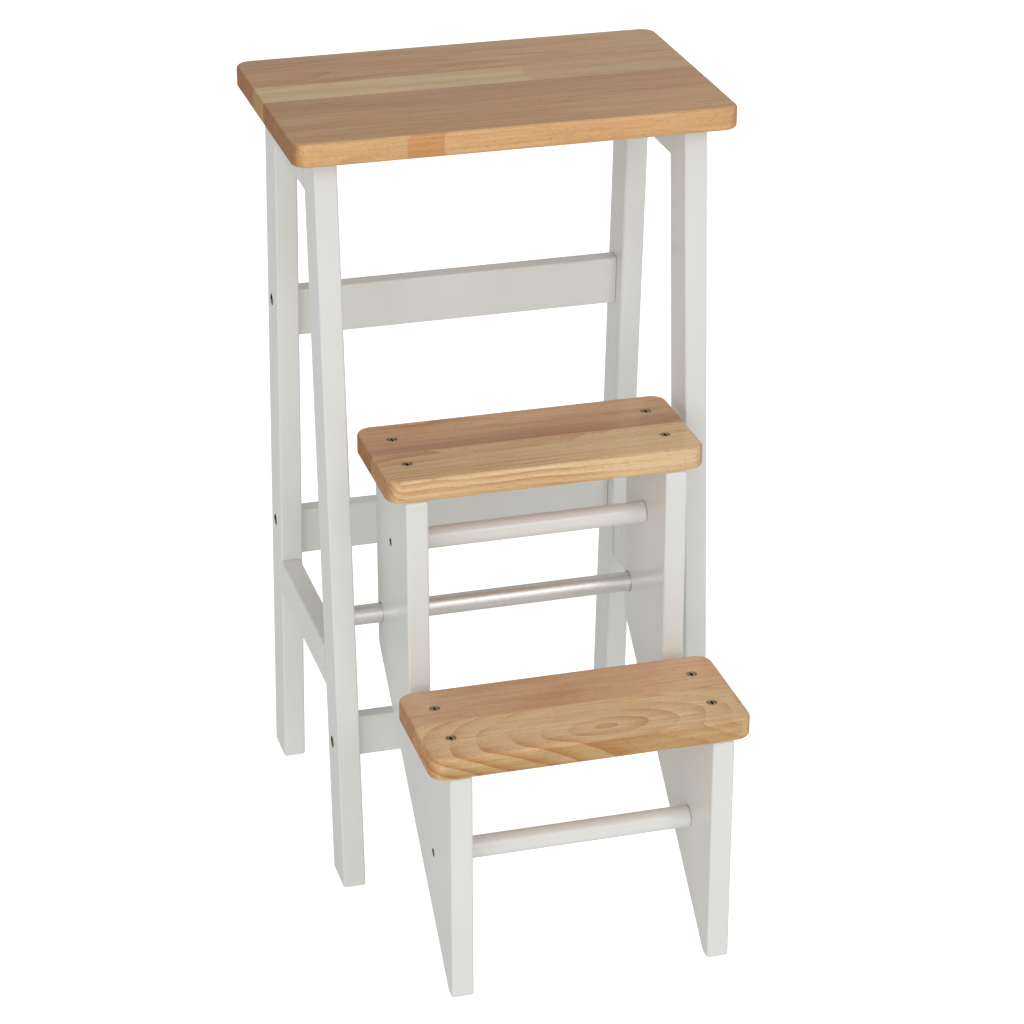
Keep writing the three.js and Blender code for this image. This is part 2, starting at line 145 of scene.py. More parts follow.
floor_mesh = bpy.data.meshes.new("studio_floor")
floor_corners = [(-floor_reach, -floor_reach), (floor_reach, -floor_reach),
                 (floor_reach, floor_reach), (-floor_reach, floor_reach)]
floor_mesh.from_pydata([(x, y, -floor_drop) for x, y in floor_corners], [], [(0, 1, 2, 3)])
floor_mesh.materials.append(floor_material)
floor = bpy.data.objects.new("studio_floor", floor_mesh)
bpy.context.scene.collection.objects.link(floor)

for name, lamp in lamps.items():
    data = bpy.data.lights.new(name, "AREA")
    data.size = lamp["size"]
    data.energy = lamp["power"]
    square = bpy.data.objects.new(name, data)
    square.location = lamp["place"]
    square.rotation_euler = (lamp_target - lamp["place"]).to_track_quat("-Z", "Y").to_euler()
    bpy.context.scene.collection.objects.link(square)
bpy.context.scene.view_settings.view_transform = "Standard"


# Legs
# Four straight-grained hardwood boards, painted white with a satin enamel. Each leans in
# towards the seat and is cut level at both ends, with its edges eased before painting.

leg_depth = 0.0385
leg_corner = 0.003
painted_rim = 0.002
rim_steps = 6
corner_steps = 10
round_steps = 56
smooth_below = math.radians(32)
overrun = 0.002
clearance = 0.0003
bar_screw = {"head": 0.0048, "rim": 0.004, "cone": 0.0, "shank": 0.003, "tip": 0.005}
paint_colour = (0.795, 0.805, 0.775, 1.0)
paint_shade = (0.755, 0.765, 0.73, 1.0)
paint_gloss = (0.19, 0.27)
cloud_waves = (14, 14, 9)
cloud_edges = (0.3, 0.7)
ripple_waves = (420, 420, 420)
raised_share = 1.4
grain_along = 22
grain_across = 650
relief_strength = 0.10
relief_depth = 0.0002
drilled_pale = (0.52, 0.32, 0.17, 1.0)
drilled_brown = (0.22, 0.125, 0.065, 1.0)
# Painted shade in holes: walls that face down or sideways blend to this near-black.
hole_shade_brown = (0.022, 0.015, 0.010, 1.0)
drilled_waves = (900, 900, 300)
drilled_roughness = 0.8
# Painted shade in holes is full where a wall's normal points up less than this, and gone above the
# next.
shade_full_below = 0.15
shade_none_above = 0.65


def rounded_outline(corners, inset=0.0):
    """Points round a closed outline of corners (x, y, radius), counterclockwise.

    Each corner becomes an arc about the point that lies its radius from both sides. An inset
    shortens the radius of a corner that points out and lengthens that of one that points in,
    so every inset of one outline has the same number of points.
    """
    points = np.array([corner[:2] for corner in corners])
    radii = np.array([corner[2] for corner in corners])
    back = np.roll(points, 1, axis=0) - points
    ahead = np.roll(points, -1, axis=0) - points
    back /= np.linalg.norm(back, axis=1, keepdims=True)
    ahead /= np.linalg.norm(ahead, axis=1, keepdims=True)
    half = np.arccos((back * ahead).sum(axis=1)) / 2
    middle = (back + ahead) / np.linalg.norm(back + ahead, axis=1, keepdims=True)
    centres = points + middle * (radii / np.sin(half))[:, None]
    begins = points + back * (radii / np.tan(half))[:, None] - centres
    turn = np.sign(back[:, 1] * ahead[:, 0] - back[:, 0] * ahead[:, 1])
    first = np.arctan2(begins[:, 1], begins[:, 0])
    share = np.linspace(0, 1, corner_steps + 1)
    angles = first[:, None] + (turn * (np.pi - 2 * half))[:, None] * share
    reach = (radii - turn * inset)[:, None]
    ring = np.stack([reach * np.cos(angles), reach * np.sin(angles)], axis=-1) + centres[:, None]
    return ring.reshape(-1, 2)


def stacked(rings, through=False):
    """Points and faces of a closed skin over rings of equal length, listed from low to high.

    Point k of ring j joins point k + 1 of it and the same two points of ring j + 1. The first
    and last rings are closed by flat faces or, where a hole runs through, joined to each other.
    """
    count, around = rings.shape[:2]
    j, k = np.meshgrid(np.arange(count if through else count - 1), np.arange(around), indexing="ij")
    up, on = (j + 1) % count, (k + 1) % around
    quads = np.stack([j * around + k, j * around + on, up * around + on, up * around + k], axis=-1)
    faces = quads.reshape(-1, 4).tolist()
    if not through:
        faces.append(list(range(around))[::-1])
        faces.append(list(range((count - 1) * around, count * around)))
    return rings.reshape(-1, 3), faces


def board_form(corners, low, high, rim):
    """A board between two levels, whose rims are quarter circles of radius rim.

    At the angle a of a rim, the ring is inset by rim (1 - sin a) and lies rim (1 - cos a) in
    from the face.
    """
    a = np.linspace(0, np.pi / 2, rim_steps + 1)
    insets = rim * (1 - np.sin(a))
    depths = rim * (1 - np.cos(a))
    levels = np.concatenate([low + depths, high - depths[::-1]])
    around = len(corners) * (corner_steps + 1)
    rings = [np.column_stack([rounded_outline(corners, inset), np.full(around, level)])
             for inset, level in zip(np.concatenate([insets, insets[::-1]]), levels)]
    return stacked(np.array(rings))


def turned_form(profile, through=False):
    """A form turned about the Z axis, from (radius, height) pairs that run upwards and, where
    a hole runs through it, back down inside."""
    angles = np.linspace(0, 2 * np.pi, round_steps, endpoint=False)
    profile = np.array(profile)
    rings = np.empty((len(profile), round_steps, 3))
    rings[..., 0] = profile[:, :1] * np.cos(angles)
    rings[..., 1] = profile[:, :1] * np.sin(angles)
    rings[..., 2] = profile[:, 1:]
    return stacked(rings, through)


def facing(points, way):
    """Turns points so that what looks up looks another way, without mirroring them."""
    x, y, z = points.T
    turned = {"up": (x, y, z), "down": (x, -y, -z), "right": (z, x, y), "left": (-z, -x, y)}
    return np.column_stack(turned[way])


def side_on(form):
    """Turns a form drawn in side view, as (y, z, x), into its place."""
    points, faces = form
    return facing(points, "right"), faces


def new_piece(name, form, material):
    """A smooth-shaded piece whose faces keep their edges where they meet at a sharp angle."""
    points, faces = form
    mesh = bpy.data.meshes.new(name)
    mesh.from_pydata(points.tolist(), [], faces)
    mesh.shade_smooth()
    mesh.set_sharp_from_angle(angle=smooth_below)
    mesh.materials.append(material)
    piece = bpy.data.objects.new(name, mesh)
    bpy.context.scene.collection.objects.link(piece)
    return piece


def work(piece, forms, operation="DIFFERENCE", bare=None):
    """Cuts forms, each of points and faces, out of a piece, or joins them to it. The walls of
    the cuts take the bare material where one is given."""
    tools = []
    finishes = [piece.data.materials[0]] + ([bare] if bare else [])
    if bare:
        piece.data.materials.append(bare)
    for number, (points, faces) in enumerate(forms):
        mesh = bpy.data.meshes.new(f"{piece.name}_tool_{number}")
        mesh.from_pydata(np.asarray(points).tolist(), [], faces)
        for finish in finishes:
            mesh.materials.append(finish)
        mesh.polygons.foreach_set("material_index", [len(finishes) - 1] * len(faces))
        tool = bpy.data.objects.new(mesh.name, mesh)
        bpy.context.scene.collection.objects.link(tool)
        step = piece.modifiers.new("work", "BOOLEAN")
        step.operation = operation
        step.solver = "EXACT"
        step.object = tool
        tools.append(tool)
    before = piece.data
    worked = piece.evaluated_get(bpy.context.evaluated_depsgraph_get())
    piece.data = bpy.data.meshes.new_from_object(worked)
    piece.modifiers.clear()
    piece.data.name = piece.name
    bpy.data.meshes.remove(before)
    for tool in tools:
        bpy.data.meshes.remove(tool.data)
    piece.data.set_sharp_from_angle(angle=smooth_below)


def hand_over(piece, node_name, body):
    """Lets a finished piece stand for the solid of a name and move with a body. Its shading
    is kept flat over wide faces, right up to the small faces of a rounded rim."""
    weighted = piece.modifiers.new("flat_faces", "WEIGHTED_NORMAL")
    weighted.keep_sharp = True
    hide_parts(node_name)
    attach(piece, body)


def corners_of(node_name):
    """The lowest and highest corners of a solid, as vectors."""
    low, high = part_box(node_name)
    return Vector(low), Vector(high)


def middle_of(node_name):
    """The middle of a solid's box."""
    low, high = corners_of(node_name)
    return (low + high) / 2


def size_of(node_name):
    """The three lengths of a solid's box."""
    low, high = corners_of(node_name)
    return high - low


def head_hole(screw_node, way, screw, head, past):
    """The hole for a screw: its turned form with clearance all round, with a radius of head
    where the screw's head is, and carried on past it."""
    low, high = corners_of(screw_node)
    axis, end = {"up": (2, high), "down": (2, low), "right": (0, high), "left": (0, low)}[way]
    place = (low + high) / 2
    place[axis] = end[axis]
    shank = screw["shank"] + clearance
    under = -screw["rim"] - screw["cone"] - clearance
    length = (high - low)[axis]
    wide = head + clearance
    profile = [(shank, -length - clearance), (shank, under),
               (wide, -screw["rim"] - clearance), (wide, past)]
    points, faces = turned_form(profile)
    return facing(points, way) + np.array(place), faces


def mixed(tree, factor, first, second, blend="MIX", kind="RGBA"):
    """The output of a Mix node of two colours, or of two vectors."""
    place = {"RGBA": (6, 7, 2), "VECTOR": (4, 5, 1)}[kind]
    settings = {"data_type": kind}
    if kind == "RGBA":
        settings["blend_type"] = blend
    made = node(tree, "Mix", {0: factor, place[0]: first, place[1]: second}, **settings)
    return made.outputs[place[2]]


def noise(tree, point, waves, detail=2.0):
    """Noise from 0 to 1 with so many waves to the metre along each axis."""
    there = node(tree, "VectorMath", {0: point, 1: waves}, operation="MULTIPLY").outputs[0]
    return node(tree, "TexNoise", {"Vector": there, "Scale": 1.0, "Detail": detail}).outputs[0]


def stretched(tree, value, low=0.0, high=1.0, to_low=0.0, to_high=1.0):
    """A value, held between low and high and stretched to run from to_low to to_high."""
    inputs = {0: value, 1: low, 2: high, 3: to_low, 4: to_high}
    return node(tree, "MapRange", inputs).outputs[0]


def new_group(name, inputs, outputs):
    """An empty node group with its sockets, the outputs of the node that stands for its
    inputs, and a function that sends a result to one of its outputs."""
    group = bpy.data.node_groups.new(name, "ShaderNodeTree")
    for label, kind in inputs.items():
        group.interface.new_socket(label, in_out="INPUT", socket_type="NodeSocket" + kind)
    for label, kind in outputs.items():
        group.interface.new_socket(label, in_out="OUTPUT", socket_type="NodeSocket" + kind)
    given = group.nodes.new("NodeGroupInput").outputs
    result = group.nodes.new("NodeGroupOutput").inputs
    return group, given, lambda label, value: group.links.new(value, result[label])


def make_enamel_group():
    """White satin enamel at a point of the wood that it covers.

    Broad clouds of noise mix its two tones and vary its gloss a little. Its relief is the fine
    ripple from the spray gun plus a share of the raised grain beneath, which has as many waves
    to the metre along each axis as Grain says.
    """
    inputs = {"Point": "Vector", "Grain": "Vector", "Colour": "Color", "Shade": "Color"}
    outputs = {"Colour": "Color", "Roughness": "Float", "Height": "Float"}
    group, given, give = new_group("satin_enamel", inputs, outputs)
    clouds = stretched(group, noise(group, given["Point"], cloud_waves, 3.0), *cloud_edges)
    ripple = noise(group, given["Point"], ripple_waves, 1.0)
    raised = noise(group, given["Point"], given["Grain"])
    give("Colour", mixed(group, clouds, given["Colour"], given["Shade"]))
    give("Roughness", stretched(group, clouds, 0.0, 1.0, *paint_gloss))
    give("Height", maths(group, "MULTIPLY_ADD", raised, raised_share, ripple))
    return group


def painted(name, grain, colour=paint_colour, shade=paint_shade):
    """A material of white satin enamel, over wood with so many waves of grain to the metre."""
    material, tree, output = empty_material(name)
    point = node(tree, "TexCoord").outputs["Object"]
    inputs = {"Point": point, "Grain": grain, "Colour": colour, "Shade": shade}
    enamel = node(tree, "Group", inputs, node_tree=enamel_group).outputs
    bump = node(tree, "Bump", {"Strength": relief_strength, "Distance": relief_depth,
                               "Height": enamel["Height"]})
    surface = node(tree, "BsdfPrincipled", {"Base Color": enamel["Colour"],
                                            "Roughness": enamel["Roughness"],
                                            "Normal": bump.outputs[0]})
    tree.links.new(surface.outputs[0], output.inputs["Surface"])
    return material


def bare_wood(name):
    """Drilled wood inside a hole, with a short noisy grain, and painted shade: walls that face
    down or sideways blend to near-black, while those that face up keep the wood's colour."""
    material, tree, output = empty_material(name)
    surface_place = node(tree, "TexCoord").outputs
    grain = noise(tree, surface_place["Object"], drilled_waves, 3.0)
    tone = mixed(tree, grain, drilled_pale, drilled_brown)
    # Painted shade: the less a wall faces up, the darker it is made.
    upwards = node(tree, "SeparateXYZ", {0: surface_place["Normal"]}).outputs["Z"]
    hole_shade = stretched(tree, upwards, shade_full_below, shade_none_above, 1.0, 0.0)
    tone = mixed(tree, hole_shade, tone, hole_shade_brown)
    surface = node(tree, "BsdfPrincipled", {"Base Color": tone, "Roughness": drilled_roughness})
    tree.links.new(surface.outputs[0], output.inputs["Surface"])
    return material


enamel_group = make_enamel_group()
upright_paint = painted("paint_on_legs", (grain_across, grain_across, grain_along))
shaded_drilled_wood = bare_wood("shaded_drilled_wood")
tube_bore_depth = 0.012
tube_low, tube_high = corners_of("pivot_tube")
tube_middle = middle_of("pivot_tube")
tube_radius = size_of("pivot_tube").z / 2
leg_screws = {
    "front": ["front_lower_screw"],
    "rear": ["rear_upper_screw", "rear_middle_screw"],
}


def leg_outline(end, low, high):
    """The corners of a leg in side view: level at the foot and the top, leaning in between."""
    foot, top = (low.y, high.y - leg_depth) if end == "front" else (high.y - leg_depth, low.y)
    return [(foot, low.z, leg_corner), (foot + leg_depth, low.z, leg_corner),
            (top + leg_depth, high.z, leg_corner), (top, high.z, leg_corner)]


for end in ("front", "rear"):
    for side in ("left", "right"):
        name = f"{end}_{side}_leg"
        low, high = corners_of(name)
        leg = new_piece(f"{name}_board",
                        side_on(board_form(leg_outline(end, low, high), low.x, high.x, painted_rim)),
                        upright_paint)
        holes = [head_hole(f"{screw}_{side}", side, bar_screw, bar_screw["head"], overrun)
                 for screw in leg_screws[end]]
        if end == "front":
            inner = high.x if side == "left" else low.x
            bore_end = inner - tube_bore_depth if side == "left" else inner + tube_bore_depth
            reach = sorted([bore_end, inner + overrun if side == "left" else inner - overrun])
            radius = tube_radius + clearance
            points, faces = side_on(turned_form([(radius, reach[0]), (radius, reach[1])]))
            holes.append((points + np.array([0.0, tube_middle.y, tube_middle.z]), faces))
        work(leg, holes, bare=shaded_drilled_wood)
        hand_over(leg, name, "frame")


# Side rails
# An upper and a middle rail on each side, tenoned into the legs and painted with them. The
# ends follow the lean of the legs. The upper rails are bored from below for the seat screws.

rail_paint = painted("paint_on_rails", (grain_across, grain_along, grain_across))
tenon_length = 0.016
tenon_shoulder = 0.008
tenon_thickness = 0.008
tenon_corner = 0.00025
screw_hole_below = 0.02
seat_screw = {"head": 0.004, "rim": 0.0005, "cone": 0.0022, "shank": 0.002, "tip": 0.006}

foot_front = corners_of("front_left_leg")[0]
leg_top = corners_of("front_left_leg")[1]
lean_slope = (leg_top.y - foot_front.y - leg_depth) / (leg_top.z - foot_front.z)
rear_foot_back = corners_of("rear_left_leg")[1].y


def inner_faces(z):
    """The y of the back of the front legs and of the front of the rear legs at a height."""
    return (foot_front.y + leg_depth + lean_slope * z, rear_foot_back - leg_depth - lean_slope * z)


def leaning_bar(width, low, high, radius, inset):
    """A bar of rounded section that runs from the front legs to the rear legs, centred on
    x = 0. Each point of its two end rings keeps its height and moves to the leg at that height."""
    half = width / 2
    corners = [(-half, low, radius), (half, low, radius),
               (half, high, radius), (-half, high, radius)]
    ring = rounded_outline(corners)
    front, back = inner_faces(ring[:, 1])
    rings = np.array([np.column_stack([ring[:, 0], back - inset, ring[:, 1]]),
                      np.column_stack([ring[:, 0], front + inset, ring[:, 1]])])
    return stacked(rings)


for height in ("upper", "middle"):
    for side in ("left", "right"):
        name = f"{side}_{height}_rail"
        low, high = corners_of(name)
        middle = np.array([(low.x + high.x) / 2, 0.0, 0.0])
        points, faces = leaning_bar(high.x - low.x, low.z, high.z, painted_rim, clearance)
        rail = new_piece(f"{name}_bar", (points + middle, faces), rail_paint)
        points, faces = leaning_bar(tenon_thickness, low.z + tenon_shoulder, high.z - tenon_shoulder,
                                    tenon_corner, -tenon_length)
        work(rail, [(points + middle, faces)], "UNION")
        if height == "upper":
            work(rail, [head_hole(f"seat_screw_{end}_{side}", "down", seat_screw,
                                  seat_screw["head"], screw_hole_below)
                        for end in ("front", "rear")])
        hand_over(rail, name, "frame")


# Crossbars
# Three straight bars across the stool, two between the rear legs and one between the front
# legs, each leaning with its legs. A furniture screw and a wooden pin hold each end.

cross_paint = painted("paint_across", (grain_along, grain_across, grain_across))
bar_thickness = 0.015
lean = math.atan(lean_slope)
crossbars = {
    "rear_upper": {"height": 0.0425, "tilt": lean},
    "rear_middle": {"height": 0.0425, "tilt": lean},
    "front_lower": {"height": 0.035, "tilt": -lean},
}

for name, bar in crossbars.items():
    low, high = corners_of(f"{name}_crossbar")
    half_t, half_h = bar_thickness / 2, bar["height"] / 2
    ring = rounded_outline([(-half_t, -half_h, painted_rim), (half_t, -half_h, painted_rim),
                            (half_t, half_h, painted_rim), (-half_t, half_h, painted_rim)])
    cosine, sine = math.cos(bar["tilt"]), math.sin(bar["tilt"])
    middle = np.array([(low.y + high.y) / 2, (low.z + high.z) / 2])
    leaned = ring @ np.array([[cosine, sine], [-sine, cosine]]) + middle
    rings = np.array([np.column_stack([leaned, np.full(len(leaned), x)]) for x in (low.x, high.x)])
    crossbar = new_piece(f"{name}_cross_piece", side_on(stacked(rings)), cross_paint)
    hand_over(crossbar, f"{name}_crossbar", "frame")


# Furniture screws and pins
# Yellow-zinc socket screws, sunk in counterbores of the legs, hold the crossbars. The plain
# hardwood pins beside them are inside the joints and keep their solids.

socket_apothem = 0.0023
socket_depth = 0.0025
head_chamfer = 0.0004
# Painted shade on screw heads: the next two numbers are the width of a dark ring round the rim of
# each face, and how dark the upper half of a head that looks sideways is made.
shade_ring_width = 0.0009
sunk_head_shade = 0.9
tip_share = 0.15
recess_floor_share = 0.7


def hexagon_radius(angles):
    """How far a hexagon reaches at each angle: its apothem over the cosine from a flat's middle."""
    return socket_apothem / np.cos(angles % (np.pi / 3) - np.pi / 6)


def screw_form(length, recess, depth, head, rim, cone, shank, tip):
    """A screw with its head up and its face at height zero.

    Each ring has a radius, a height and a share of painted shade, which darkens the rim of the
    face and the recess, where shade falls, and the hidden shank and underside. The last three
    rings take the outline of the recess, in the face of the head, just under it and, drawn in,
    at its floor.
    """
    angles = np.linspace(0, 2 * np.pi, 2 * round_steps, endpoint=False)
    plain = np.ones(len(angles))
    radii = np.array([tip_share * shank * plain, shank * plain, shank * plain,
                      head * plain, head * plain,
                      (head - head_chamfer / 2) * plain, (head - shade_ring_width) * plain,
                      recess(angles), recess(angles), recess_floor_share * recess(angles)])
    levels = np.array([-length, -length + tip, -rim - cone, -rim, -head_chamfer / 2,
                       0.0, 0.0, 0.0, -head_chamfer / 2, -depth])
    painted_shade = np.array([1.0, 1.0, 1.0, 1.0, 1.0, 1.0, 0.0, 0.0, 1.0, 1.0])
    rings = np.stack([radii * np.cos(angles), radii * np.sin(angles),
                      levels[:, None] * plain], axis=-1)
    return stacked(rings), np.repeat(painted_shade, len(angles))


def place_screw(node_name, way, screw, recess, depth, material, body):
    """Puts a screw where the solid of its name is, with its head looking the given way. The
    upper half of a head that looks sideways is darkened with painted shade, as if its counterbore
    shadowed it."""
    low, high = corners_of(node_name)
    axis, end = {"up": (2, high), "down": (2, low), "right": (0, high), "left": (0, low)}[way]
    place = (low + high) / 2
    place[axis] = end[axis]
    (points, faces), painted_shade = screw_form((high - low)[axis], recess, depth, **screw)
    points = facing(points, way)
    # Painted shade: the upper half of a head that looks sideways is darkened, as if its counterbore
    # shadowed it.
    if axis == 0:
        upper = np.clip(points[:, 2] / screw["head"] + 0.5, 0.0, 1.0)
        painted_shade = np.maximum(painted_shade, sunk_head_shade * upper)
    piece = new_piece(f"{node_name}_turned", (points + np.array(place), faces), material)
    piece.data.attributes.new("painted_shade", "FLOAT", "POINT").data.foreach_set("value", painted_shade)
    hand_over(piece, node_name, body)


# Painted shade on metal: the near-black colour and the dull roughness that it is given.
painted_shade_colour = (0.015, 0.012, 0.009, 1.0)
painted_shade_roughness = 0.8
stain_waves = (260, 260, 260)
stain_edges = (0.4, 0.7)
smoothest_share = 0.75
roughest_share = 1.3
scratch_depth = 0.0001


def make_metal_group():
    """Plated or drawn metal at a point.

    Noise mixes in a second colour where the metal is stained. Fine scratches, with so many
    waves to the metre, are its relief, and vary its roughness between two shares of the given
    one. A share from 0 to 1 of painted shade covers the colour with a near-black and dulls the
    shine, where shade falls on screw heads.
    """
    inputs = {"Point": "Vector", "Scratches": "Vector", "Painted Shade": "Float", "Colour": "Color",
              "Stained": "Color", "Roughness": "Float"}
    outputs = {"Colour": "Color", "Roughness": "Float", "Height": "Float"}
    group, given, give = new_group("worn_metal", inputs, outputs)
    fine = noise(group, given["Point"], given["Scratches"], 3.0)
    stains = stretched(group, noise(group, given["Point"], stain_waves), *stain_edges)
    metal = mixed(group, stains, given["Colour"], given["Stained"])
    smoothest = maths(group, "MULTIPLY", given["Roughness"], smoothest_share)
    roughest = maths(group, "MULTIPLY", given["Roughness"], roughest_share)
    worn = stretched(group, fine, 0.0, 1.0, smoothest, roughest)
    give("Colour", mixed(group, given["Painted Shade"], metal, painted_shade_colour))
    give("Roughness", stretched(group, given["Painted Shade"], 0.0, 1.0, worn, painted_shade_roughness))
    give("Height", fine)
    return group


def plated(name, colour, stained, edge_tint, roughness, scratches, relief):
    """A material of plated or drawn metal, with painted shade where the mesh says so."""
    material, tree, output = empty_material(name)
    inputs = {"Point": node(tree, "TexCoord").outputs["Object"], "Scratches": scratches,
              # The mesh attribute gives the share of painted shade.
              "Painted Shade": node(tree, "Attribute", attribute_name="painted_shade").outputs["Fac"],
              "Colour": colour, "Stained": stained, "Roughness": roughness}
    metal = node(tree, "Group", inputs, node_tree=metal_group).outputs
    bump = node(tree, "Bump", {"Strength": relief, "Distance": scratch_depth,
                               "Height": metal["Height"]})
    surface = node(tree, "BsdfPrincipled", {"Base Color": metal["Colour"], "Metallic": 1.0,
                                            "Specular Tint": edge_tint,
                                            "Roughness": metal["Roughness"],
                                            "Normal": bump.outputs[0]})
    tree.links.new(surface.outputs[0], output.inputs["Surface"])
    return material


metal_group = make_metal_group()
yellow_zinc = plated("yellow_zinc", colour=(0.55, 0.36, 0.18, 1.0), stained=(0.16, 0.10, 0.06, 1.0),
                     edge_tint=(0.45, 0.32, 0.18, 1.0), roughness=0.40, scratches=(900, 900, 900),
                     relief=0.15)
for screw in ("rear_upper_screw", "rear_middle_screw", "front_lower_screw"):
    for side in ("left", "right"):
        place_screw(f"{screw}_{side}", side, bar_screw, hexagon_radius, socket_depth,
                    yellow_zinc, "frame")

pin_pale = (0.72, 0.52, 0.30, 1.0)
pin_brown = (0.56, 0.37, 0.19, 1.0)
pin_roughness = 0.7
pin_grain = (40, 900, 900)
pin_wood, tree, output = empty_material("pin_wood")
grain = noise(tree, node(tree, "TexCoord").outputs["Object"], pin_grain, 3.0)
tone = mixed(tree, grain, pin_pale, pin_brown)
surface = node(tree, "BsdfPrincipled", {"Base Color": tone, "Roughness": pin_roughness})
tree.links.new(surface.outputs[0], output.inputs["Surface"])
for name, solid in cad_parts.items():
    if "_pin_" in name:
        solid.data.materials.clear()
        solid.data.materials.append(pin_wood)


# Seat and treads
# Three boards of hardwood staves, glued side by side and finger-jointed end to end, with
# rounded corners and rims, stained honey-brown under a half-gloss lacquer. The seat lies on
# the legs, and each tread is screwed down on the two side boards.

wood_rim = 0.003
glue_line = 0.0003
wood_shine = 0.35
lacquer_gloss = (0.15, 0.22)
end_grain_gloss = 0.65
end_grain_begins = 0.35
end_grain_full = 0.95
ring_tint = (0.78, 0.60, 0.43, 1.0)
band_tint = (0.92, 0.85, 0.80, 1.0)
streak_tint = (0.86, 0.77, 0.68, 1.0)
pore_tint = (0.56, 0.40, 0.30, 1.0)
end_grain_tint = (0.74, 0.61, 0.46, 1.0)
seat_corner = 0.013
tread_corner = 0.013
tread_screw = {"head": 0.004, "rim": 0.0005, "cone": 0.0022, "shank": 0.002, "tip": 0.006}


def make_stave_group():
    """Lays one stave over those in front of it: everything behind Start takes its colour.

    The stave changes colour at a finger joint, whose teeth run to and fro along its length,
    or slowly, by Drift to the metre from its Left End. A glue line is sharp. A band of darker
    or lighter wood within a stave has a soft and wandering edge, as wide as Blur.
    """
    finger_half_pitch = 0.002
    finger_slope = 3.0
    joint_shift = (0.02, 0.017, 0.006)
    edge_waves = (7, 55, 55)
    edge_wander = 3.0
    inputs = {"Point": "Vector", "Start": "Float", "Blur": "Float", "Joint": "Float",
              "Left End": "Float", "Drift": "Float", "Left": "Color", "Right": "Color",
              "Pith": "Vector", "Colour Before": "Color", "Pith Before": "Vector"}
    group, value, give = new_group("stave", inputs, {"Colour": "Color", "Pith": "Vector"})
    axes = node(group, "SeparateXYZ", {0: value["Point"]})
    teeth = maths(group, "PINGPONG", axes.outputs["Y"], finger_half_pitch)
    along = maths(group, "MULTIPLY_ADD", teeth, finger_slope, axes.outputs["X"])
    past_joint = maths(group, "GREATER_THAN", along, value["Joint"])
    wander = noise(group, value["Point"], edge_waves, 3.0)
    past = maths(group, "SUBTRACT", axes.outputs["Y"], value["Start"])
    aside = maths(group, "SUBTRACT", wander, 0.5)
    reach = maths(group, "MULTIPLY", value["Blur"], edge_wander)
    swayed = maths(group, "MULTIPLY_ADD", aside, reach, past)
    behind = maths(group, "DIVIDE", swayed, value["Blur"], clamp=True)
    from_end = maths(group, "SUBTRACT", axes.outputs["X"], value["Left End"])
    change = maths(group, "MULTIPLY_ADD", from_end, value["Drift"], past_joint, clamp=True)
    own = mixed(group, change, value["Left"], value["Right"])
    shift = node(group, "VectorMath", {0: joint_shift, "Scale": past_joint}, operation="SCALE")
    pith = node(group, "VectorMath", {0: value["Pith"], 1: shift.outputs[0]}, operation="ADD")
    give("Colour", mixed(group, behind, value["Colour Before"], own))
    give("Pith", mixed(group, behind, value["Pith Before"], pith.outputs[0], kind="VECTOR"))
    return group


